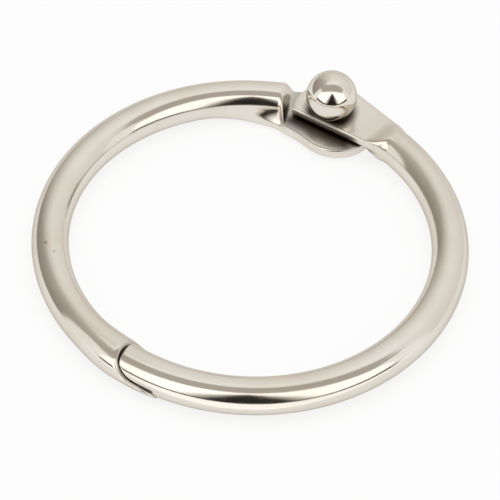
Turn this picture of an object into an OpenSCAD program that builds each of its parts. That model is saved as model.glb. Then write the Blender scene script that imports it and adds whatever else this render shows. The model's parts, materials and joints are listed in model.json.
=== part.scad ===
// Loose-leaf binder ring: two half rings of round wire, pressed into flat tabs
// at the hinge and into a snap lap at the clasp, and joined by a ball rivet.
// The ring lies flat. Its centre is the origin, +Z is the ring's axis towards
// the ball, and the hinge lies on +Y.

/* [Ring] */
// Clear inside diameter of the closed ring
ring_inner_d = 25.4; // [20:0.1:50]
// Diameter of the wire
wire_d = 2.6; // [2.4:0.05:3.2]

/* [Hinge tabs] */
// How far the rivet's axis lies inside the wire's centre line
rivet_inset = 0.5; // [0.2:0.05:0.8]
// Thickness of the lower tab, on the left half
lower_tab_t = 1.0; // [0.8:0.05:1.1]
// Thickness of the upper tab, on the right half
upper_tab_t = 0.8; // [0.6:0.05:0.9]
// Height of the lower tab's underside above the wire's lowest line
tab_raise = 0.15; // [0.1:0.01:0.25]
// Running gap between the two tabs
tab_gap = 0.1; // [0.05:0.01:0.2]
// Radius of the lower tab's round paddle
lower_tab_r = 2.9; // [2.6:0.05:3.2]
// How far the lower paddle's centre lies past the rivet
lower_tab_reach = 0.5; // [0.2:0.05:0.8]
// Radius of the hollow where the lower paddle flares out of the wire's inner side
lower_flare_r = 2; // [1:0.1:3]
// Radius of the upper tab round the rivet
upper_tab_r = 2.8; // [2.5:0.05:3.1]
// Distance from the rivet's axis to the upper tab's straight inner edge
upper_edge_offset = 1.25; // [1.15:0.05:1.6]
// Angle of that edge to the ring's tangent at the rivet
upper_edge_cant = 6.5; // [4:0.5:8]
// Clearance between each tab's tip and the other half's shoulder
shoulder_clearance = 0.25; // [0.15:0.05:0.4]
// Length of the left half's steep shoulder, from the foot to full wire height
shoulder_run = 0.75; // [0.6:0.05:1.2]
// Length of the right half's ramps, above and below the tab, from the foot to full wire height
ramp_run = 1.6; // [1.2:0.1:2]
// How square the pressed section is, where 2 is an ellipse
press_squareness = 6; // [4:0.5:8]

/* [Ball rivet] */
// Diameter of the ball head
ball_d = 3.7; // [3.2:0.05:4.2]
// Height of the cap that the ball's flat seat takes off
ball_seat_h = 0.4; // [0.3:0.05:0.6]
// Clearance between the ball's seat and the upper tab
seat_clearance = 0.05; // [0.03:0.01:0.1]
// Diameter of the shank
shank_d = 1.7; // [1.5:0.05:1.9]
// Radial clearance of the upper tab on the shank
pivot_clearance = 0.04; // [0.02:0.01:0.1]
// Diameter of the peened tail where it meets the lower tab's underside
tail_d = 2.6; // [2.2:0.05:3]
// Depth of the countersink that the tail fills
tail_depth = 0.4; // [0.3:0.05:0.6]
// Height of the tail's low dome
tail_dome_h = 0.08; // [0.05:0.01:0.1]

/* [Snap lap] */
// Angle from the point opposite the hinge to the middle of the lap, on the left half's side
lap_offset = 5; // [0:0.5:10]
// Length of the lap's slope, from the seam on top to the seam below
lap_length = 3.9; // [3.2:0.1:4.6]
// Length by which each tip is cut short of a feather edge
tip_blunt = 0.3; // [0.2:0.05:0.5]
// Gap between the two laps
lap_gap = 0.12; // [0.08:0.01:0.2]
// How far the pressed tongue spreads past the wire on each side
tongue_spread = 0.2; // [0.1:0.05:0.3]

/* [Hidden] */
$fn = 96;

nickel = [0.85, 0.82, 0.77];
nickel_shade = [0.78, 0.75, 0.7];

wire_r = wire_d / 2;
inner_r = ring_inner_d / 2;
centre_r = inner_r + wire_r;
outer_r = inner_r + wire_d;

// Heights of the hinge stack, from the underside of the lower tab to the ball
hinge_y = centre_r - rivet_inset;
lower_bottom = -wire_r + tab_raise;
lower_top = lower_bottom + lower_tab_t;
upper_bottom = lower_top + tab_gap;
upper_top = upper_bottom + upper_tab_t;
ball_seat = upper_top + seat_clearance;
ball_r = ball_d / 2;
ball_z = ball_seat + ball_r - ball_seat_h;
shank_r = shank_d / 2;
tail_r = tail_d / 2;

// Where each shoulder starts, measured from the rivet along the ring's tangent
left_foot = upper_tab_r + shoulder_clearance;
right_foot = lower_tab_r + lower_tab_reach + shoulder_clearance;

// Each half ring is one loft of sections in planes through the ring's axis, from
// the tip of its hinge tab to the tip of its lap. The planes' angles are counted
// from the hinge towards the half's own wire.
SIDES = 32;
TAB_STATIONS = 40;
WIRE_STEP = 3.5;
// Squareness of the round wire
ROUND = 2;
// Share of the tab's radius at which its last section lies, just short of the tip
TIP_SHARE = 0.995;

function angle_at(x) = asin(x / hinge_y);
function smooth(t) = let (c = max(0, min(1, t))) c * c * (3 - 2 * c);
function rise(a, foot, run) =
    smooth((a - angle_at(foot)) / (angle_at(foot + run) - angle_at(foot)));
function mix(a, b, t) = a + (b - a) * t;

// A tab's outline, as radii from the ring's centre. The paddle is a circle of
// radius r about [cx, hinge_y], and a straight edge runs on to the wire's outer side.
function along(c, a) = c.x * sin(a) + c.y * cos(a);
function chord(c, r, a) = sqrt(max(0, r * r - c * c + pow(along(c, a), 2)));
function tangent_angle(c, r) = acos((outer_r - r) / norm(c)) + atan2(c.x, c.y);
function outer_edge(c, r, a) =
    let (t = tangent_angle(c, r), leaves = atan2(c.x + r * sin(t), c.y + r * cos(t)))
    a < leaves ? along(c, a) + chord(c, r, a) : a < t ? outer_r / cos(a - t) : outer_r;

// The lower paddle's inner side follows the circle, then a hollow fillet, then the wire
lower_c = [-lower_tab_reach, hinge_y];
flare_reach = inner_r - lower_flare_r;
flare_span = lower_tab_r + lower_flare_r;
flare_a = atan2(lower_c.x, lower_c.y) + acos((pow(flare_reach, 2) + lower_c * lower_c
    - pow(flare_span, 2)) / (2 * flare_reach * norm(lower_c)));
flare_c = flare_reach * [sin(flare_a), cos(flare_a)];
flare_touch = lower_c + (flare_c - lower_c) * lower_tab_r / flare_span;
flare_from = atan2(flare_touch.x, flare_touch.y);
function lower_inner_edge(a) =
    a < flare_from ? along(lower_c, a) - chord(lower_c, lower_tab_r, a)
    : a < flare_a ? along(flare_c, a) + chord(flare_c, lower_flare_r, a) : inner_r;

// The upper tab's inner side is one straight edge that runs on to the wire's inner side
upper_c = [0, hinge_y];
upper_edge_r = hinge_y * cos(upper_edge_cant) - upper_edge_offset;
upper_edge_to = upper_edge_cant + acos(upper_edge_r / inner_r);
function upper_inner_edge(a) =
    a > upper_edge_to ? inner_r
    : max(a < 0 ? along(upper_c, a) - chord(upper_c, upper_tab_r, a) : 0,
          upper_edge_r / cos(a - upper_edge_cant));

// The snap lap: an ogee of two equal arcs, level where they meet at mid-height
lap_a = 270 - lap_offset;
lap_half = lap_length / 2;
lap_half_a = asin(lap_half / centre_r);
tip_s = lap_half - tip_blunt;
ogee_r = (pow(lap_half, 2) + pow(wire_r, 2)) / wire_d;
LAP_STEPS = 10;
function ogee(s) = -sign(s) * (ogee_r - sqrt(ogee_r * ogee_r - s * s));
left_end = lap_a - 90 + lap_half_a;
right_end = 450 - lap_a + lap_half_a;
// The pressed tongue swells to its full spread over the lap's length before the seam
function spread(a) = tongue_spread * smooth((a - left_end + 4 * lap_half_a) / (2 * lap_half_a));

// One section: [inner radius, outer radius, lower height, upper height, squareness]
function lower_section(a) =
    let (t = rise(a, left_foot, shoulder_run))
    [lower_inner_edge(a) - spread(a), outer_edge(lower_c, lower_tab_r, a) + spread(a),
     mix(lower_bottom, -wire_r, t), mix(lower_top, wire_r, t), mix(press_squareness, ROUND, t)];
function upper_section(a) =
    let (t = rise(a, right_foot, ramp_run))
    [upper_inner_edge(a), outer_edge(upper_c, upper_tab_r, a),
     mix(upper_bottom, -wire_r, t), mix(upper_top, wire_r, t), mix(press_squareness, ROUND, t)];

// Where a paddle's tip lies, and the rim's rounding there, like that of the long edges
function tip_angle(c, r) = atan2(c.x, c.y) - asin(TIP_SHARE * r / norm(c));
function tip_share(c, r, a) =
    let (x = a < 0 ? min(0, norm(c) * sin(a - atan2(c.x, c.y))) : 0)
    pow(1 - pow(abs(x) / r, press_squareness), 1 / press_squareness);
function power(v, n) = sign(v) * pow(abs(v), 2 / n);
// The points of one section, on the right half's side of the hinge or, where side is -1, the left's
function ring_of_points(side, a, s, share) = [
    for (i = [0 : SIDES - 1])
        let (t = side * 360 * i / SIDES,
             r = (s[0] + s[1]) / 2 + (s[1] - s[0]) / 2 * power(cos(t), s[4]),
             z = (s[2] + s[3]) / 2 + share * (s[3] - s[2]) / 2 * power(sin(t), s[4]))
        [side * r * sin(a), r * cos(a), z]];

// Stations lie close together at the tab's tip and evenly along the wire
function stations(tip, joint, end) =
    let (steps = ceil((end - joint) / WIRE_STEP))
    concat(
        [for (i = [0 : TAB_STATIONS - 1]) mix(tip, joint, 1 - cos(90 * i / TAB_STATIONS))],
        [for (i = [0 : steps]) mix(joint, end, i / steps)]);

module loft(rings) {
    last = len(rings) - 1;
    polyhedron(
        points = [for (ring = rings) each ring],
        faces = [
            [for (i = [0 : SIDES - 1]) i],
            [for (i = [SIDES - 1 : -1 : 0]) last * SIDES + i],
            for (k = [0 : last - 1], i = [0 : SIDES - 1])
                let (j = (i + 1) % SIDES, a = k * SIDES, b = a + SIDES)
                each [[a + i, b + j, a + j], [a + i, b + i, b + j]]],
        convexity = 6);
}

module left_blank() {
    tip = tip_angle(lower_c, lower_tab_r);
    loft([
        for (a = stations(tip, tangent_angle(lower_c, lower_tab_r), left_end))
            ring_of_points(-1, a, lower_section(a), tip_share(lower_c, lower_tab_r, a))]);
}

module right_blank() {
    tip = tip_angle(upper_c, upper_tab_r);
    loft([
        for (a = stations(tip, tangent_angle(upper_c, upper_tab_r), right_end))
            ring_of_points(1, a, upper_section(a), tip_share(upper_c, upper_tab_r, a))]);
}

// Size of the cutting shapes, well past the wire
past = 2 * wire_d;

// A flat outline in the lap's plane, along the ring and up, cut right across the wire
module across_lap(outline) {
    rotate([0, 0, lap_a])
        translate([centre_r - past, 0, 0])
            rotate([90, 0, 90])
                linear_extrude(2 * past) polygon(outline);
}

// What is pressed away above the left half's tongue. The slope runs straight on
// past the top of the wire.
module above_tongue() {
    slope = [for (i = [0 : LAP_STEPS]) let (s = mix(-lap_half, tip_s, i / LAP_STEPS)) [s, ogee(s)]];
    run_on = 2 * slope[0] - slope[1];
    across_lap(concat(
        [run_on],
        [for (i = [1 : LAP_STEPS]) slope[i]],
        [[tip_s, -past], [past, -past], [past, past], [run_on.x, past]]));
}

// What is pressed away below the right half's nose
module below_nose() {
    across_lap(concat(
        [for (i = [0 : LAP_STEPS])
            let (s = mix(-tip_s, tip_s + lap_gap, i / LAP_STEPS)) [s, ogee(s) + lap_gap]],
        [[tip_s + lap_gap, -past], [-past, -past], [-past, past], [-tip_s, past]]));
}

module left_half_ring() {
    color(nickel) difference() {
        left_blank();
        above_tongue();
        translate([0, hinge_y, -past]) cylinder(h = 2 * past, r = shank_r);
        translate([0, hinge_y, 0]) countersink(past);
    }
}

module right_half_ring() {
    color(nickel) difference() {
        right_blank();
        below_nose();
        translate([0, hinge_y, -past]) cylinder(h = 2 * past, r = shank_r + pivot_clearance);
    }
}

module ball_rivet() {
    color(nickel_shade) translate([0, hinge_y, 0]) {
        difference() {
            translate([0, 0, ball_z]) sphere(ball_r);
            translate([0, 0, ball_seat - ball_d]) cylinder(h = ball_d, r = ball_d);
        }
        translate([0, 0, lower_bottom + tail_depth])
            cylinder(h = ball_z - lower_bottom - tail_depth, r = shank_r);
        countersink(0);
        tail_dome();
    }
}

// The cone that the tail fills, run on by extra below the lower tab
module countersink(extra) {
    slope = (tail_r - shank_r) / tail_depth;
    translate([0, 0, lower_bottom - extra])
        cylinder(h = tail_depth + extra, r1 = tail_r + slope * extra, r2 = shank_r);
}

// The low dome that peening leaves under the countersink
module tail_dome() {
    dome_r = (tail_r * tail_r + tail_dome_h * tail_dome_h) / (2 * tail_dome_h);
    intersection() {
        translate([0, 0, lower_bottom - tail_dome_h + dome_r]) sphere(dome_r);
        translate([0, 0, lower_bottom - tail_d]) cylinder(h = tail_d, r = tail_d);
    }
}

left_half_ring();
right_half_ring();
ball_rivet();
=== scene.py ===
# A nickel-plated binder ring: two half rings of pressed wire, joined by a ball rivet
import json
import math

import bmesh
import bpy
from mathutils import Matrix, Vector


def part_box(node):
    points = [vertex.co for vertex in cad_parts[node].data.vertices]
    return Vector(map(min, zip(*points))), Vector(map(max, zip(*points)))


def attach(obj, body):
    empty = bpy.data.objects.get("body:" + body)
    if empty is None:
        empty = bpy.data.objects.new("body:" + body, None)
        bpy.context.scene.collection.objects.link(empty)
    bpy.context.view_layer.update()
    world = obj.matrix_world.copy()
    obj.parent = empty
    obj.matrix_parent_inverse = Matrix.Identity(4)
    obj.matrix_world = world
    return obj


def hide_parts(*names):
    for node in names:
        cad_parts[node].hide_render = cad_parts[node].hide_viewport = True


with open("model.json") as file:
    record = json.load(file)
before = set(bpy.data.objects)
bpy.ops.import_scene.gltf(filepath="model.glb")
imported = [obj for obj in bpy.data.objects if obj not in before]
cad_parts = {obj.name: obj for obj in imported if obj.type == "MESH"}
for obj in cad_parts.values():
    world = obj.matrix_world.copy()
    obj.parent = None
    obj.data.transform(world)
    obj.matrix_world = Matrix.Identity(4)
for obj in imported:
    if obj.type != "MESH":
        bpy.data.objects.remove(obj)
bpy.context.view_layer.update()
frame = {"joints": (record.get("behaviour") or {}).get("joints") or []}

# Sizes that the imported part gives, in metres
HINGE = Vector(frame["joints"][0]["pos_m"])
WIRE_R = -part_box("right_half_ring")[0].z
RIVET_LOW, RIVET_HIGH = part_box("ball_rivet")
BALL_R = RIVET_HIGH.x
BALL_Z = RIVET_HIGH.z - BALL_R

# Ring
RING_INNER_R = 0.0127
CENTRE_R = RING_INNER_R + WIRE_R
OUTER_R = CENTRE_R + WIRE_R

# Hinge stack, from the underside of the lower tab to the ball's seat
LOWER_TAB_T = 0.0010
UPPER_TAB_T = 0.0008
TAB_RAISE = 0.00015
TAB_GAP = 0.0001
SEAT_CLEARANCE = 0.00005
LOWER_BOTTOM = -WIRE_R + TAB_RAISE
LOWER_TOP = LOWER_BOTTOM + LOWER_TAB_T
UPPER_BOTTOM = LOWER_TOP + TAB_GAP
UPPER_TOP = UPPER_BOTTOM + UPPER_TAB_T
BALL_SEAT = UPPER_TOP + SEAT_CLEARANCE

# Tab outlines
LOWER_TAB_R = 0.0029
LOWER_TAB_REACH = 0.0005
LOWER_FLARE_R = 0.0075
UPPER_TAB_R = 0.0028
UPPER_EDGE_OFFSET = 0.00125
UPPER_EDGE_CANT = math.radians(6.5)
UPPER_EDGE_R = HINGE.y * math.cos(UPPER_EDGE_CANT) - UPPER_EDGE_OFFSET
SHOULDER_CLEARANCE = 0.00025
SHOULDER_RUN = 0.00075
RAMP_RUN = 0.0016
LEFT_FOOT = UPPER_TAB_R + SHOULDER_CLEARANCE
RIGHT_FOOT = LOWER_TAB_R + LOWER_TAB_REACH + SHOULDER_CLEARANCE
PRESSED_SQUARE = 6
ROUND = 2

# Flare of the lower tab along the wire's inner side. It fades between two heights, as shares of the radius.
FLARE_FADE = (-0.8, 0.3)
FLARE_DEPTH = 0.0005
FLARE_SQUARE = 4

# Rivet
SHANK_R = 0.00085
PIVOT_CLEARANCE = 0.00004
TAIL_R = 0.0013
TAIL_DEPTH = 0.0004
TAIL_DOME_H = LOWER_BOTTOM - RIVET_LOW.z
SEAT_R = math.sqrt(BALL_R ** 2 - (BALL_Z - BALL_SEAT) ** 2)
SEAT_EDGE_R = 0.00006

# Painted shade in the crevices, a dark colour put where their shadow falls: how far it reaches before it
# starts to fade, and until it is gone
TAB_PAINTED_SHADE = (0.0003, 0.0017)
TAB_PAINTED_SHADE_UNDER = (0.0003, 0.0012)
BALL_PAINTED_SHADE = (0.0003, 0.0011)
PAINTED_SHADE_HEIGHT = 0.0003

# Strength of the painted shade on the lap's faces and round the upper tab's tip, and the run over which the
# tip's sets in
LAP_PAINTED_SHADE = 0.65
TIP_PAINTED_SHADE = 0.35
TIP_PAINTED_SHADE_RUN = 0.001

# Snap lap: an ogee of two equal arcs, level where they meet at mid-height
LAP_OFFSET = math.radians(5)
LAP_HALF = 0.00195
TIP_BLUNT = 0.0003
LAP_GAP = 0.00012
TONGUE_SPREAD = 0.0002
TIP_REACH = LAP_HALF - TIP_BLUNT
OGEE_R = (LAP_HALF ** 2 + WIRE_R ** 2) / (2 * WIRE_R)
LAP_HALF_A = math.asin(LAP_HALF / CENTRE_R)
TONGUE_EDGE_R = 0.0003
NOSE_EDGE_R = 0.00015
CREASE_R = 0.0002

# Fineness of the meshes
SIDES = 96
TIP_STEPS = 40
TAB_STEP = math.radians(0.3)
WIRE_STEP = math.radians(1.2)
LAP_STEP = math.radians(0.4)
LAP_ZONE = math.radians(16)
EDGE_RINGS = 6
LAP_RINGS = 14
BALL_STEPS = 72
DOME_STEPS = 6
TURN_STEPS = 128
SEAT_EDGE_STEPS = 3
MERGE = 0.00001
FINE_MERGE = 0.000001
SHARP_ANGLE = math.radians(40)


def mix(a, b, t):
    return a + (b - a) * t


def smooth(t):
    t = min(1, max(0, t))
    return t * t * (3 - 2 * t)


def fade(x, start, end):
    """1 up to the start and 0 from the end on."""
    return 1 - smooth((x - start) / (end - start))


def rise(a, foot, run):
    """How far a shoulder has risen, from 0 at its foot to 1 at the full wire."""
    start = math.asin(foot / HINGE.y)
    end = math.asin((foot + run) / HINGE.y)
    return smooth((a - start) / (end - start))


def along(c, a):
    """How far out the point c lies along the radius at angle a."""
    return c.x * math.sin(a) + c.y * math.cos(a)


def chord(c, r, a):
    """Half the length that a circle of radius r about c cuts out of the radius at angle a."""
    return math.sqrt(max(0, r * r - c.length_squared + along(c, a) ** 2))


def bearing(c):
    return math.atan2(c.x, c.y)


def soft_min(x, limit, r):
    """The lesser of the two, with the corner between them rounded."""
    overlap = max(0, r - abs(x - limit)) / r
    return min(x, limit) - overlap * overlap * r / 4


def ogee_reach(h):
    """How far along the wire the ogee lies at height h."""
    return -math.copysign(math.sqrt(2 * OGEE_R * abs(h) - h * h), h)


class HalfRing:
    """The form of one half ring. Angles run from the hinge along the half's own wire."""

    def __init__(self, side, paddle_reach, paddle_r, lap_a, edge_r):
        self.side = side
        self.paddle = Vector((-paddle_reach, HINGE.y))
        self.paddle_r = paddle_r
        self.lap_a = lap_a
        self.edge_r = edge_r
        self.wide_a = bearing(self.paddle)
        self.tip_a = self.wide_a - math.asin(paddle_r / self.paddle.length)
        self.wire_a = self.wide_a + math.acos((OUTER_R - paddle_r) / self.paddle.length)
        leaving = self.paddle + paddle_r * Vector((math.sin(self.wire_a), math.cos(self.wire_a)))
        self.leaving_a = bearing(leaving)

    def outer_edge(self, a):
        """The paddle's circle, then a straight run, then the wire's outer side."""
        if a < self.leaving_a:
            return along(self.paddle, a) + chord(self.paddle, self.paddle_r, a)
        if a < self.wire_a:
            return OUTER_R / math.cos(a - self.wire_a)
        return OUTER_R

    def tip_share(self, a):
        """The share of the tab's thickness that is left as its rim rounds off at the tip."""
        back = min(0, self.paddle.length * math.sin(a - self.wide_a)) if a < 0 else 0
        return max(0, 1 - (-back / self.paddle_r) ** PRESSED_SQUARE) ** (1 / PRESSED_SQUARE)

    def place(self, a, r, z):
        return Vector((self.side * r * math.sin(a), r * math.cos(a), z))

    def section_point(self, a, t, share=1):
        """Radius and height of the point at angle t round the section at angle a."""
        inner, outer, lower, upper, square = self.section(a, t)
        c, s = math.cos(t), math.sin(t)
        out = share * (abs(c) ** square + abs(s) ** square) ** (-1 / square)
        r = mix(inner, outer, (1 + out * c) / 2)
        z = mix(lower, upper, (1 + self.tip_share(a) * out * s) / 2)
        return r, z

    def lap_point(self, t, back, share):
        """Angle, radius and height of a point on the lap's face, where share 0 is the wire's middle."""
        r, z = self.section_point(self.lap_a, t, share)
        return self.lap_a + math.asin((self.lap_reach(z) - back) / r), r, z


class LeftHalf(HalfRing):
    """Carries the lower tab and the tongue."""

    def __init__(self):
        lap_a = math.pi - LAP_OFFSET
        super().__init__(-1, LOWER_TAB_REACH, LOWER_TAB_R, lap_a, TONGUE_EDGE_R)
        self.risen_foot = LEFT_FOOT + SHOULDER_RUN
        reach = RING_INNER_R - LOWER_FLARE_R
        span = LOWER_TAB_R + LOWER_FLARE_R
        far = self.paddle.length
        self.flare_a = self.wide_a + math.acos((reach ** 2 + far ** 2 - span ** 2) / (2 * reach * far))
        self.flare = reach * Vector((math.sin(self.flare_a), math.cos(self.flare_a)))
        touch = self.paddle.lerp(self.flare, LOWER_TAB_R / span)
        self.flare_from = bearing(touch)

    def inner_edge(self, a):
        """The paddle's circle, then a hollow flare, then the wire's inner side."""
        if a < self.flare_from:
            return along(self.paddle, a) - chord(self.paddle, self.paddle_r, a)
        if a < self.flare_a:
            return along(self.flare, a) + chord(self.flare, LOWER_FLARE_R, a)
        return RING_INNER_R

    def spread(self, a):
        """How far the tongue stands out: it swells over one lap's length, up to where the lap starts."""
        return TONGUE_SPREAD * smooth((a - self.lap_a + 3 * LAP_HALF_A) / (2 * LAP_HALF_A))

    def pressed(self, a):
        return 1 - rise(a, LEFT_FOOT, SHOULDER_RUN)

    def section(self, a, t):
        """The flat tab, then the round wire. The flare fades out with height, and is square where deep."""
        risen = rise(a, LEFT_FOOT, SHOULDER_RUN)
        spread = self.spread(a)
        flared = fade(math.sin(t), *FLARE_FADE)
        flare = RING_INNER_R - self.inner_edge(a)
        inner = RING_INNER_R - flare * mix(1, flared, risen)
        squared = flared * min(1, flare / FLARE_DEPTH) if math.cos(t) < 0 else 0
        return (inner - spread, self.outer_edge(a) + spread,
                mix(LOWER_BOTTOM, -WIRE_R, risen), mix(LOWER_TOP, WIRE_R, risen),
                mix(PRESSED_SQUARE, mix(ROUND, FLARE_SQUARE, squared), risen))

    def painted_shade(self, place):
        """Painted shade: 1 along the edge of the closed upper tab, fading out beside it and under it."""
        past_edge = UPPER_EDGE_R - along(place, UPPER_EDGE_CANT)
        past_tip = (place.xy - HINGE.xy).length - UPPER_TAB_R
        past = max(past_edge, past_tip)
        strength = mix(TIP_PAINTED_SHADE, 1, smooth(0.5 + (past_edge - past_tip) / TIP_PAINTED_SHADE_RUN))
        return (strength * fade(past, *TAB_PAINTED_SHADE) * fade(-past, *TAB_PAINTED_SHADE_UNDER)
                * fade(abs(place.z - LOWER_TOP), 0, PAINTED_SHADE_HEIGHT))

    def lap_reach(self, z):
        return soft_min(ogee_reach(z), TIP_REACH, CREASE_R)

    def hole_wall(self):
        return [(SHANK_R, LOWER_TOP), (SHANK_R, LOWER_BOTTOM + TAIL_DEPTH), (TAIL_R, LOWER_BOTTOM)]


class RightHalf(HalfRing):
    """Carries the upper tab and the nose that closes over the tongue."""

    def __init__(self):
        lap_a = math.pi + LAP_OFFSET
        super().__init__(1, 0, UPPER_TAB_R, lap_a, NOSE_EDGE_R)
        self.risen_foot = RIGHT_FOOT + RAMP_RUN
        self.edge_to = UPPER_EDGE_CANT + math.acos(UPPER_EDGE_R / RING_INNER_R)

    def inner_edge(self, a):
        """The paddle's circle at the tip, then one straight edge, then the wire's inner side."""
        if a > self.edge_to:
            return RING_INNER_R
        edge = UPPER_EDGE_R / math.cos(a - UPPER_EDGE_CANT)
        if a > 0:
            return edge
        return max(edge, along(self.paddle, a) - chord(self.paddle, self.paddle_r, a))

    def pressed(self, a):
        return 1 - rise(a, RIGHT_FOOT, RAMP_RUN)

    def section(self, a, t):
        """The flat tab, then the round wire, the same at every angle t round it."""
        risen = rise(a, RIGHT_FOOT, RAMP_RUN)
        return (self.inner_edge(a), self.outer_edge(a),
                mix(UPPER_BOTTOM, -WIRE_R, risen), mix(UPPER_TOP, WIRE_R, risen),
                mix(PRESSED_SQUARE, ROUND, risen))

    def painted_shade(self, place):
        """Painted shade: 1 under the ball and on the tab's underside."""
        past_seat = (place.xy - HINGE.xy).length - SEAT_R
        top = fade(past_seat, *BALL_PAINTED_SHADE) * fade(abs(place.z - UPPER_TOP), 0, PAINTED_SHADE_HEIGHT)
        under = self.pressed(bearing(place)) * fade(abs(place.z - UPPER_BOTTOM), 0, PAINTED_SHADE_HEIGHT)
        return max(top, under)

    def lap_reach(self, z):
        reach = soft_min(ogee_reach(LAP_GAP - z), TIP_REACH, CREASE_R)
        return -soft_min(-reach, TIP_REACH + LAP_GAP, CREASE_R)

    def hole_wall(self):
        bore = SHANK_R + PIVOT_CLEARANCE
        return [(bore, UPPER_TOP), (bore, UPPER_BOTTOM)]


def draw_wire(bm, half):
    """Bends a round wire along the half ring, from tip to lap, and returns its last ring's edges."""
    stand_up = Matrix(((0, 0, 1, 0), (1, 0, 0, CENTRE_R), (0, 1, 0, 0), (0, 0, 0, 1)))
    turn = Matrix.Rotation(-half.side * half.tip_a, 4, "Z")
    half_step = Matrix.Rotation(math.pi / SIDES, 4, "Z")
    made = bmesh.ops.create_circle(
        bm, cap_ends=False, segments=SIDES, radius=WIRE_R, matrix=turn @ stand_up @ half_step)
    ring = made["verts"] + list({e for v in made["verts"] for e in v.link_edges})
    risen_a = max(half.wire_a, math.asin(half.risen_foot / HINGE.y))
    stops = [half.tip_a, half.wide_a, risen_a, half.lap_a - LAP_ZONE, half.lap_a]
    steps = [(half.wide_a - half.tip_a) / TIP_STEPS, TAB_STEP, WIRE_STEP, LAP_STEP]
    for start, end, step in zip(stops, stops[1:], steps):
        spun = bmesh.ops.spin(
            bm, geom=ring, cent=(0, 0, 0), axis=(0, 0, 1), angle=half.side * (start - end),
            steps=round((end - start) / step), use_duplicate=False)
        ring = spun["geom_last"]
    return [e for e in ring if isinstance(e, bmesh.types.BMEdge)]


def press(bm, half):
    """Presses the wire's one end into the tab, and runs its other end out to the edge of the lap."""
    straight = bm.verts.layers.float_vector.new("straight_wire")
    around = bm.verts.layers.float.new("around")
    pressed = bm.verts.layers.float.new("pressed")
    painted_shade = bm.verts.layers.float.new("painted_shade")
    lap_start = half.lap_a - LAP_ZONE
    for v in bm.verts:
        t = math.atan2(v.co.z, v.co.xy.length - CENTRE_R)
        a = math.atan2(half.side * v.co.x, v.co.y)
        if a < half.tip_a - LAP_ZONE:
            a += math.tau
        if a < half.wide_a:
            even = (a - half.tip_a) / (half.wide_a - half.tip_a)
            a = mix(half.tip_a, half.wide_a, 1 - math.cos(even * math.pi / 2))
        elif a > lap_start:
            end_a = half.lap_point(t, half.edge_r, 1)[0]
            a = mix(lap_start, end_a, (a - lap_start) / LAP_ZONE)
        v.co = half.place(a, *half.section_point(a, t))
        v[straight] = (half.side * CENTRE_R * a, WIRE_R * math.cos(t), WIRE_R * math.sin(t))
        v[around] = t
        v[pressed] = half.pressed(a)
        # Painted shade: how dark the crevices between the tabs and under the ball are painted here
        v[painted_shade] = half.painted_shade(v.co)


def close_tip(bm, half):
    """Gathers the wire's first ring, which is pressed to nothing, into the one point at the tab's tip."""
    tip = half.place(half.tip_a, *half.section_point(half.tip_a, 0))
    bmesh.ops.remove_doubles(bm, verts=[v for v in bm.verts if (v.co - tip).length < MERGE], dist=MERGE)


def close_lap(bm, half, edges):
    """Rounds the edge of the lap and closes its face, ring by ring, to the middle of the wire."""
    around = bm.verts.layers.float["around"]
    straight = bm.verts.layers.float_vector["straight_wire"]
    painted_shade = bm.verts.layers.float["painted_shade"]
    rim_share = 1 - half.edge_r / WIRE_R
    shares = [rim_share * (1 - i / LAP_RINGS) for i in range(1, LAP_RINGS + 1)]
    for ring in range(1, EDGE_RINGS + LAP_RINGS + 1):
        grown = bmesh.ops.extrude_edge_only(bm, edges=edges)["geom"]
        edges = [e for e in grown if isinstance(e, bmesh.types.BMEdge)]
        verts = [v for v in grown if isinstance(v, bmesh.types.BMVert)]
        for v in verts:
            t = v[around]
            if ring <= EDGE_RINGS:
                w = ring / EDGE_RINGS
                corner = [Vector(half.lap_point(t, back, share))
                          for back, share in ((half.edge_r, 1), (0, 1), (0, rim_share))]
                place = corner[0].lerp(corner[1], w).lerp(corner[1].lerp(corner[2], w), w)
            else:
                place = half.lap_point(t, 0, shares[ring - EDGE_RINGS - 1])
            v.co = half.place(*place)
            # Painted shade on the lap's faces, where the two halves close on each other
            v[painted_shade] = LAP_PAINTED_SHADE * min(1, ring / EDGE_RINGS) ** 2
            v[straight] = (half.side * CENTRE_R * place[0], place[1] - CENTRE_R, place[2])
    bmesh.ops.remove_doubles(bm, verts=verts, dist=MERGE)


def punch(bm, wall):
    """Punches the rivet's hole through the tab. The wall is a list of (radius, height), top to bottom."""
    middle = (wall[0][1] + wall[-1][1]) / 2

    def open_side(radius, height, upper):
        hole = {f for f in bm.faces
                if (f.calc_center_median().xy - HINGE.xy).length < radius
                and (f.calc_center_median().z > middle) == upper}
        rim = list({e for f in hole for e in f.edges if not hole.issuperset(e.link_faces)})
        bmesh.ops.delete(bm, geom=list(hole), context="FACES")
        set_ring({v for e in rim for v in e.verts}, radius, height)
        return rim

    def set_ring(verts, radius, height):
        for v in verts:
            v.co.xy = HINGE.xy + (v.co.xy - HINGE.xy).normalized() * radius
            v.co.z = height

    top = open_side(*wall[0], True)
    bottom = open_side(*wall[-1], False)
    for radius, height in reversed(wall[1:-1]):
        grown = bmesh.ops.extrude_edge_only(bm, edges=bottom)["geom"]
        bottom = [e for e in grown if isinstance(e, bmesh.types.BMEdge)]
        set_ring([v for v in grown if isinstance(v, bmesh.types.BMVert)], radius, height)
    bmesh.ops.bridge_loops(bm, edges=top + bottom)


def half_ring(half):
    """Makes one half ring from its form: wire, tab, lap and hole."""
    bm = bmesh.new()
    lap_edges = draw_wire(bm, half)
    press(bm, half)
    close_tip(bm, half)
    close_lap(bm, half, lap_edges)
    punch(bm, half.hole_wall())
    bmesh.ops.recalc_face_normals(bm, faces=bm.faces)
    return bm


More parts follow.
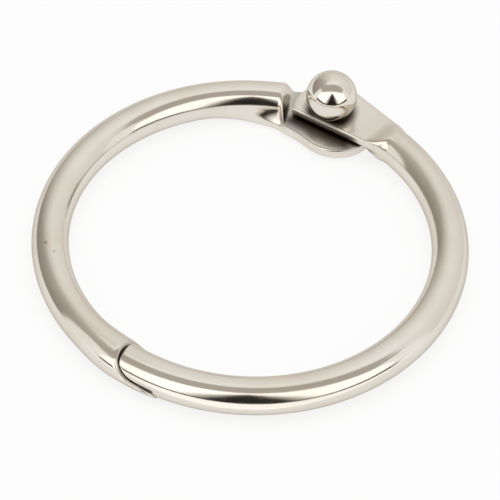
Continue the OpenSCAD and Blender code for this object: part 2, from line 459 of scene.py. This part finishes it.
def ball_rivet():
    """Turns the rivet's profile round its axis: the ball, its flat seat, the shank and the peened tail."""
    bm = bmesh.new()
    last = bm.verts.new((0, HINGE.y, BALL_Z + BALL_R))

    def arc(start, height, angle, steps):
        spun = bmesh.ops.spin(
            bm, geom=[start], cent=(0, HINGE.y, height), axis=(0, 1, 0), angle=angle, steps=steps)
        return next(v for v in spun["geom_last"] if isinstance(v, bmesh.types.BMVert))

    last = arc(last, BALL_Z, math.acos((BALL_SEAT - BALL_Z) / BALL_R), BALL_STEPS)
    tail_top = LOWER_BOTTOM + TAIL_DEPTH
    for radius, height in ((SHANK_R, BALL_SEAT), (SHANK_R, tail_top), (TAIL_R, LOWER_BOTTOM)):
        last = bmesh.ops.extrude_vert_indiv(bm, verts=[last])["verts"][0]
        last.co = (radius, HINGE.y, height)
    dome_r = (TAIL_R ** 2 + TAIL_DOME_H ** 2) / (2 * TAIL_DOME_H)
    arc(last, LOWER_BOTTOM - TAIL_DOME_H + dome_r, math.asin(TAIL_R / dome_r), DOME_STEPS)
    bmesh.ops.spin(
        bm, geom=bm.verts[:] + bm.edges[:], cent=HINGE, axis=(0, 0, 1), angle=math.tau,
        steps=TURN_STEPS, use_merge=True, use_duplicate=False)
    bmesh.ops.remove_doubles(bm, verts=bm.verts, dist=FINE_MERGE)
    rim = [e for e in bm.edges
           if all(abs(v.co.z - BALL_SEAT) < MERGE and (v.co.xy - HINGE.xy).length > SEAT_R - MERGE
                  for v in e.verts)]
    bmesh.ops.bevel(
        bm, geom=rim, offset=SEAT_EDGE_R, affect="EDGES", segments=SEAT_EDGE_STEPS, profile=0.5,
        material=-1)
    bmesh.ops.recalc_face_normals(bm, faces=bm.faces)
    return bm


# Colours of the plating
NICKEL = (0.78, 0.74, 0.67, 1)
NICKEL_WARM = (0.74, 0.69, 0.615, 1)
NICKEL_RIM = (0.66, 0.62, 0.57, 1)
PIT_SHADE = (0.28, 0.25, 0.21, 1)
# A dark colour that paints the crevices' shade into the plating
CREVICE_SHADE = (0.06, 0.05, 0.04, 1)

# Marks in the plating: sizes in metres, turns in radians, and bands of noise over which a mark comes in
CLOUD_GRAIN = 0.004
CLOUD_BAND = (0.35, 0.65)
WAVE_GRAIN = 0.0009
DRAW_LINE_WIDTH = 0.0001
DRAW_LINE_STRETCH = 60
DIE_GRAIN = 0.00018
HAIR_WIDTH = 0.00007
HAIR_STRETCH = 30
HAIR_BAND = (0.62, 0.68)
HAIR_PATCH = 0.0012
HAIR_PATCH_BAND = (0.5, 0.65)
HAIR_TURNS = (0.6, -0.9)
PIT_SPACING = 0.0016
PIT_R = 0.00006
PIT_BAND = (0.6, 0.9)

# Two flecks that show on the left half, as places along and round the wire, each with its radius
FLECKS = (((-0.0299, 0.00034, 0.00126), 0.00016), ((-0.0308, -0.00017, 0.00129), 0.0001))
FLECK_GRAIN = 0.00012
FLECK_EDGE = 1.5
FLECK_DEPTH = 0.7

# Roughness of the plating, and what each mark adds to it
WIRE_ROUGHNESS = 0.1
RIVET_ROUGHNESS = 0.09
WAVE_ROUGHNESS = 0.02
CLOUD_ROUGHNESS = 0.03
DRAW_LINE_ROUGHNESS = 0.04
PRESSED_ROUGHNESS = 0.05
DIE_ROUGHNESS = 0.08
HAIR_ROUGHNESS = 0.08
# Roughness added where the crevices' shade is painted
CREVICE_ROUGHNESS = 0.15
HOLE_ROUGHNESS = 0.3

# Height of each mark, in microns
MICRON = 0.000001
WIRE_WAVE_HEIGHT = 2.5
RIVET_WAVE_HEIGHT = 1.5
DRAW_LINE_HEIGHT = 0.35
DIE_HEIGHT = 1.2
HAIR_HEIGHT = -0.4
HOLE_HEIGHT = -4


def add_node(tree, kind, inputs, **settings):
    """Adds a shader node, with its settings, and sets or links its inputs."""
    node = tree.nodes.new(kind)
    for name, value in settings.items():
        setattr(node, name, value)
    for name, value in inputs.items():
        if isinstance(value, bpy.types.NodeSocket):
            tree.links.new(value, node.inputs[name])
        else:
            node.inputs[name].default_value = value
    return node


def maths(tree, operation, a, b):
    return add_node(tree, "ShaderNodeMath", {0: a, 1: b}, operation=operation).outputs[0]


def weighted(tree, start, *terms):
    """The start plus the sum of each value times its weight."""
    total = start
    for value, weight in terms:
        total = add_node(
            tree, "ShaderNodeMath", {0: value, 1: weight, 2: total}, operation="MULTIPLY_ADD").outputs[0]
    return total


def between(tree, value, low, high):
    """0 at low and 1 at high, and level past both."""
    return add_node(
        tree, "ShaderNodeMapRange", {"Value": value, "From Min": low, "From Max": high}).outputs["Result"]


def blended(tree, share, a, b):
    """Two colours mixed. The Mix node's colours are its inputs 6 and 7 and its output 2."""
    return add_node(
        tree, "ShaderNodeMix", {"Factor": share, 6: a, 7: b}, data_type="RGBA").outputs[2]


def attribute(tree, name, output):
    """A value that the mesh holds at its vertices."""
    return add_node(tree, "ShaderNodeAttribute", {}, attribute_name=name).outputs[output]


def noise(tree, place, grain, detail=2):
    """Noise whose lumps are about one grain across."""
    return add_node(
        tree, "ShaderNodeTexNoise", {"Vector": place, "Scale": 1 / grain, "Detail": detail}).outputs["Fac"]


def drawn_out(tree, place, length, turn=0):
    """The place with its first axis drawn out, so that lumps become lines."""
    return add_node(
        tree, "ShaderNodeMapping",
        {"Vector": place, "Rotation": (0, 0, turn), "Scale": (length, 1, 1)}, vector_type="TEXTURE",
    ).outputs["Vector"]


def hair_scratches(tree, place, turn):
    """Short fine scratches, all one way, that come and go in patches."""
    lines = between(tree, noise(tree, drawn_out(tree, place, HAIR_STRETCH, turn), HAIR_WIDTH), *HAIR_BAND)
    patches = between(tree, noise(tree, place, HAIR_PATCH), *HAIR_PATCH_BAND)
    return maths(tree, "MULTIPLY", lines, patches)


def pits(tree, place):
    """Sparse round pits in the plating: 1 in a pit and 0 between them."""
    cells = add_node(tree, "ShaderNodeTexVoronoi", {"Vector": place, "Scale": 1 / PIT_SPACING})
    pick = add_node(tree, "ShaderNodeSeparateColor", {"Color": cells.outputs["Color"]}).outputs["Red"]
    rim = PIT_R / PIT_SPACING
    inside = between(tree, cells.outputs["Distance"], rim, rim / 2)
    return maths(tree, "MULTIPLY", inside, between(tree, pick, *PIT_BAND))


def flecks(tree, place):
    """Small ragged chips in the plating: a share of a pit's depth in a fleck, and 0 round it."""
    ragged = noise(tree, place, FLECK_GRAIN)
    total = 0
    for middle, radius in FLECKS:
        distance = add_node(
            tree, "ShaderNodeVectorMath", {0: place, 1: middle}, operation="DISTANCE").outputs["Value"]
        inside = between(tree, weighted(tree, distance, (ragged, radius)), FLECK_EDGE * radius, radius)
        total = weighted(tree, total, (inside, FLECK_DEPTH))
    return total


def bright_nickel(name):
    """Starts a bright nickel plating, and returns the material, its node tree and its shader."""
    material = bpy.data.materials.new(name)
    material.use_nodes = True
    shader = material.node_tree.nodes["Principled BSDF"]
    shader.inputs["Metallic"].default_value = 1
    shader.inputs["Specular Tint"].default_value = NICKEL_RIM
    return material, material.node_tree, shader


def finish_nickel(tree, shader, place, holes, roughness, height):
    """Adds clouds, hair scratches and holes to the roughness and height given, and returns the colour."""
    cloud = between(tree, noise(tree, place, CLOUD_GRAIN, detail=3), *CLOUD_BAND)
    hairs = maths(tree, "MAXIMUM", *[hair_scratches(tree, place, turn) for turn in HAIR_TURNS])
    rough = weighted(
        tree, roughness, (cloud, CLOUD_ROUGHNESS), (hairs, HAIR_ROUGHNESS), (holes, HOLE_ROUGHNESS))
    tree.links.new(rough, shader.inputs["Roughness"])
    marked = weighted(tree, height, (hairs, HAIR_HEIGHT), (holes, HOLE_HEIGHT))
    bump = add_node(tree, "ShaderNodeBump", {"Height": marked, "Distance": MICRON})
    tree.links.new(bump.outputs["Normal"], shader.inputs["Normal"])
    return blended(tree, holes, blended(tree, cloud, NICKEL, NICKEL_WARM), PIT_SHADE)


def plated_wire():
    """Drawn wire, plated: draw lines, a little waviness, a dull grain where dies have pressed it, and a
    dark colour painted into the crevices as their shade.
    """
    material, tree, shader = bright_nickel("plated_wire")
    place = attribute(tree, "straight_wire", "Vector")
    pressed = attribute(tree, "pressed", "Fac")
    painted_shade = attribute(tree, "painted_shade", "Fac")
    waves = noise(tree, place, WAVE_GRAIN, detail=1)
    lines = noise(tree, drawn_out(tree, place, DRAW_LINE_STRETCH), DRAW_LINE_WIDTH)
    grain = maths(tree, "MULTIPLY", noise(tree, place, DIE_GRAIN), pressed)
    holes = maths(tree, "MAXIMUM", pits(tree, place), flecks(tree, place))
    roughness = weighted(
        tree, WIRE_ROUGHNESS, (lines, DRAW_LINE_ROUGHNESS), (pressed, PRESSED_ROUGHNESS),
        (grain, DIE_ROUGHNESS), (painted_shade, CREVICE_ROUGHNESS))
    height = weighted(tree, 0, (waves, WIRE_WAVE_HEIGHT), (lines, DRAW_LINE_HEIGHT), (grain, DIE_HEIGHT))
    nickel = finish_nickel(tree, shader, place, holes, roughness, height)
    # The crevices' painted shade darkens the plating's colour
    tree.links.new(blended(tree, painted_shade, nickel, CREVICE_SHADE), shader.inputs["Base Color"])
    return material


def plated_rivet():
    """Turned ball, plated: smoother than the wire, with only a faint waviness."""
    material, tree, shader = bright_nickel("plated_rivet")
    place = add_node(tree, "ShaderNodeTexCoord", {}).outputs["Object"]
    waves = noise(tree, place, WAVE_GRAIN, detail=1)
    roughness = weighted(tree, RIVET_ROUGHNESS, (waves, WAVE_ROUGHNESS))
    height = weighted(tree, 0, (waves, RIVET_WAVE_HEIGHT))
    nickel = finish_nickel(tree, shader, place, pits(tree, place), roughness, height)
    tree.links.new(nickel, shader.inputs["Base Color"])
    return material


def add_piece(bm, name, body, node, material):
    """Adds one piece of the ring, which rides on its body and stands for its solid."""
    mesh = bpy.data.meshes.new(name)
    bm.to_mesh(mesh)
    bm.free()
    mesh.shade_smooth()
    mesh.set_sharp_from_angle(angle=SHARP_ANGLE)
    mesh.materials.append(material)
    piece = bpy.data.objects.new(name, mesh)
    bpy.context.scene.collection.objects.link(piece)
    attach(piece, body)
    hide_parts(node)


wire_finish = plated_wire()
rivet_finish = plated_rivet()
left = half_ring(LeftHalf())
right = half_ring(RightHalf())
rivet = ball_rivet()
add_piece(left, "plated_left_half", "left_half", "left_half_ring", wire_finish)
add_piece(right, "plated_right_half", "right_half", "right_half_ring", wire_finish)
add_piece(rivet, "plated_ball_rivet", "left_half", "ball_rivet", rivet_finish)

# Camera
CAMERA_AZIMUTH = math.radians(23.3)
CAMERA_ELEVATION = math.radians(48.1)
CAMERA_ROLL = math.radians(2.8)
CAMERA_DISTANCE = 0.21
CAMERA_CLIP = 0.002
VIEW_WIDTH = 0.0349
VIEW_DROP = 0.0009

# Studio, in metres. It is turned to the camera: x is to its right, y away from it, and z up.
STUDIO_TURN = Matrix.Rotation(CAMERA_AZIMUTH, 4, "Z")
WHITE = (1, 1, 1, 1)

# Floor and light
FLOOR_Z = -WIRE_R
FLOOR_SIZE = 3
FLOOR_WHITE = (0.92, 0.92, 0.92, 1)
FLOOR_SHOWN_WHITE = 0.8
AMBIENT = 0.7
LAMP_HEIGHT = 0.7
LAMP_SIZE = 0.6
LAMP_GLOW = 1.6

# Glowing white panel in front, with a dark gap in its middle: one half's outline, and that of its shaded
# flank
PANEL_WHITE = (1.5, 1.48, 1.45, 1)
PANEL_Y = -0.4
PANEL_TOP = 0.82
PANEL_END = -1.12
PANEL_FOOT = (-0.26, 0.05)
GAP_MIDDLE = 0.02
GAP_TOP = (0, 0.7)
PANEL = ((PANEL_END, 0.2), PANEL_FOOT, GAP_TOP, (0, PANEL_TOP), (PANEL_END, PANEL_TOP))
FLANK = (PANEL_FOOT, (-0.13, 0.05), (0, 0.6), GAP_TOP)

# Dark card behind the panel, and a pale board on the floor before the ring, which glows brighter than white
DARK = (0.02, 0.017, 0.014, 1)
DARK_X = (-1.2, 1.3)
DARK_Y = PANEL_Y - 0.05
DARK_TOP = 0.9
FRONT_WHITE = (1.3, 1.29, 1.27, 1)
FRONT_X = (-0.5, 0.5)
FRONT_Y = (-0.5, -0.0167)
FRONT_LIFT = 0.0002

# Ceiling and walls: glowing cards, the walls with painted shade that darkens them towards the bottom
CEILING_TAN = (0.50, 0.47, 0.43, 1)
CEILING_X = (-0.9, 0.9)
CEILING_Y = (PANEL_Y, 0.11)
WALL_TAN = (0.32, 0.29, 0.255, 1)
WALL_MID = (0.68, 0.65, 0.61, 1)
WALL_PALE = (0.84, 0.82, 0.79, 1)
WALL_AWAY = 0.6
WALL_Z = (FLOOR_Z, 1.4)


def add_camera():
    camera = bpy.data.objects.new("camera", bpy.data.cameras.new("camera"))
    bpy.context.scene.collection.objects.link(camera)
    bpy.context.scene.camera = camera
    camera.data.lens = camera.data.sensor_width * CAMERA_DISTANCE / VIEW_WIDTH
    camera.data.clip_start = CAMERA_CLIP
    back = Vector((0, -math.cos(CAMERA_ELEVATION), math.sin(CAMERA_ELEVATION)))
    aim = Vector((0, -VIEW_DROP, 0))
    look = (-back).to_track_quat("-Z", "Y").to_matrix().to_4x4()
    camera.matrix_world = (STUDIO_TURN @ Matrix.Translation(aim + back * CAMERA_DISTANCE) @ look
                           @ Matrix.Rotation(CAMERA_ROLL, 4, "Z"))


def seen(tree):
    """1 where a camera, mirror or glass ray looks, and 0 where light is gathered."""
    ray = add_node(tree, "ShaderNodeLightPath", {}).outputs
    mirrored = maths(tree, "MAXIMUM", ray["Is Glossy Ray"], ray["Is Transmission Ray"])
    return maths(tree, "MAXIMUM", ray["Is Camera Ray"], mirrored)


def stage_material(name):
    """An empty material, its node tree and the socket that its surface goes to."""
    material = bpy.data.materials.new(name)
    material.use_nodes = True
    tree = material.node_tree
    tree.nodes.remove(tree.nodes["Principled BSDF"])
    return material, tree, tree.nodes["Material Output"].inputs["Surface"]


def add_board(name, material, corners, shades):
    """A flat board between its corners, in the studio's axes, with a shade at each corner."""
    mesh = bpy.data.meshes.new(name)
    bm = bmesh.new()
    shade_layer = bm.verts.layers.float_color.new("shade")
    for corner, shade in zip(corners, shades):
        bm.verts.new(STUDIO_TURN @ Vector(corner))[shade_layer] = shade
    bmesh.ops.contextual_create(bm, geom=bm.verts[:])
    bm.to_mesh(mesh)
    bm.free()
    mesh.materials.append(material)
    board = bpy.data.objects.new(name, mesh)
    bpy.context.scene.collection.objects.link(board)
    return board


def add_floor():
    """White board under the ring, which shows white and keeps the ring's shadow."""
    material, tree, surface = stage_material("white_board")
    board = add_node(tree, "ShaderNodeBsdfDiffuse", {"Color": FLOOR_WHITE}).outputs[0]
    white = add_node(tree, "ShaderNodeEmission", {"Color": WHITE}).outputs[0]
    share = maths(tree, "MULTIPLY", seen(tree), FLOOR_SHOWN_WHITE)
    shown = add_node(tree, "ShaderNodeMixShader", {0: share, 1: board, 2: white}).outputs[0]
    tree.links.new(shown, surface)
    corners = level((-FLOOR_SIZE, FLOOR_SIZE), (-FLOOR_SIZE, FLOOR_SIZE), FLOOR_Z)
    add_board("floor", material, corners, [FLOOR_WHITE] * 4)


def add_card(name, corners, *shades):
    """A glowing card that only the metal sees, in one shade or in a shade for each of its corners."""
    material, tree, surface = stage_material(name)
    glow = add_node(tree, "ShaderNodeEmission", {"Color": attribute(tree, "shade", "Color")}).outputs[0]
    tree.links.new(glow, surface)
    card = add_board(name, material, corners, shades if len(shades) > 1 else shades * len(corners))
    card.visible_camera = False
    card.visible_diffuse = False
    card.visible_shadow = False


def level(x, y, z):
    """The corners of a level board."""
    return [(x[0], y[0], z), (x[1], y[0], z), (x[1], y[1], z), (x[0], y[1], z)]


def facing(x, y, z):
    """The corners of an upright board that faces along y."""
    return [(x[0], y, z[0]), (x[1], y, z[0]), (x[1], y, z[1]), (x[0], y, z[1])]


def sideways(x, y, z):
    """The corners of an upright board that faces along x."""
    return [(x, y[0], z[0]), (x, y[1], z[0]), (x, y[1], z[1]), (x, y[0], z[1])]


def add_lamp():
    """One soft lamp overhead, for the floor. The metal sees the cards instead."""
    lamp = bpy.data.lights.new("softbox", "AREA")
    lamp.size = LAMP_SIZE
    lamp.energy = LAMP_GLOW * math.pi * LAMP_SIZE ** 2
    softbox = bpy.data.objects.new("softbox", lamp)
    bpy.context.scene.collection.objects.link(softbox)
    softbox.visible_camera = False
    softbox.visible_glossy = False
    softbox.matrix_world = STUDIO_TURN @ Matrix.Translation((0, 0, LAMP_HEIGHT))


def add_world():
    """Even soft light, in front of a white background."""
    world = bpy.data.worlds.new("studio")
    bpy.context.scene.world = world
    world.use_nodes = True
    tree = world.node_tree
    glow = add_node(tree, "ShaderNodeMapRange", {"Value": seen(tree), "To Min": AMBIENT, "To Max": 1})
    background = tree.nodes["Background"]
    background.inputs["Color"].default_value = WHITE
    tree.links.new(glow.outputs["Result"], background.inputs["Strength"])


def add_front_cards():
    """What the ring's front mirrors: the two halves of the glowing panel, the dark behind them and a pale
    board that glows.
    """
    for side, way in (("left", 1), ("right", -1)):
        panel = [(GAP_MIDDLE + way * x, PANEL_Y, z) for x, z in PANEL]
        flank = [(GAP_MIDDLE + way * x, PANEL_Y, z) for x, z in FLANK]
        add_card(side + "_panel", panel, PANEL_WHITE)
        add_card(side + "_flank", flank, PANEL_WHITE, DARK, WALL_TAN, PANEL_WHITE)
    add_card("dark_front", facing(DARK_X, DARK_Y, (FLOOR_Z, DARK_TOP)), DARK)
    add_card("front_board", level(FRONT_X, FRONT_Y, FLOOR_Z + FRONT_LIFT), FRONT_WHITE)


def add_walls():
    """A glowing ceiling, and glowing walls that go from tan at the left to white at the right, with painted
    shade darker towards the bottom.
    """
    depth = (0, WALL_AWAY)
    add_card("ceiling", level(CEILING_X, CEILING_Y, PANEL_TOP), CEILING_TAN)
    add_card("left_wall", sideways(-WALL_AWAY, depth, WALL_Z), WALL_TAN, WALL_TAN, WALL_MID, WALL_MID)
    add_card("back_wall_left", facing((-WALL_AWAY, 0), WALL_AWAY, WALL_Z),
             WALL_TAN, WALL_PALE, WHITE, WALL_MID)
    add_card("back_wall_right", facing((0, WALL_AWAY), WALL_AWAY, WALL_Z),
             WALL_PALE, WALL_PALE, WHITE, WHITE)
    add_card("right_wall", sideways(WALL_AWAY, depth, WALL_Z), WALL_PALE, WALL_PALE, WHITE, WHITE)


add_camera()
add_floor()
add_world()
add_lamp()
add_front_cards()
add_walls()
bpy.context.scene.view_settings.view_transform = "Standard"
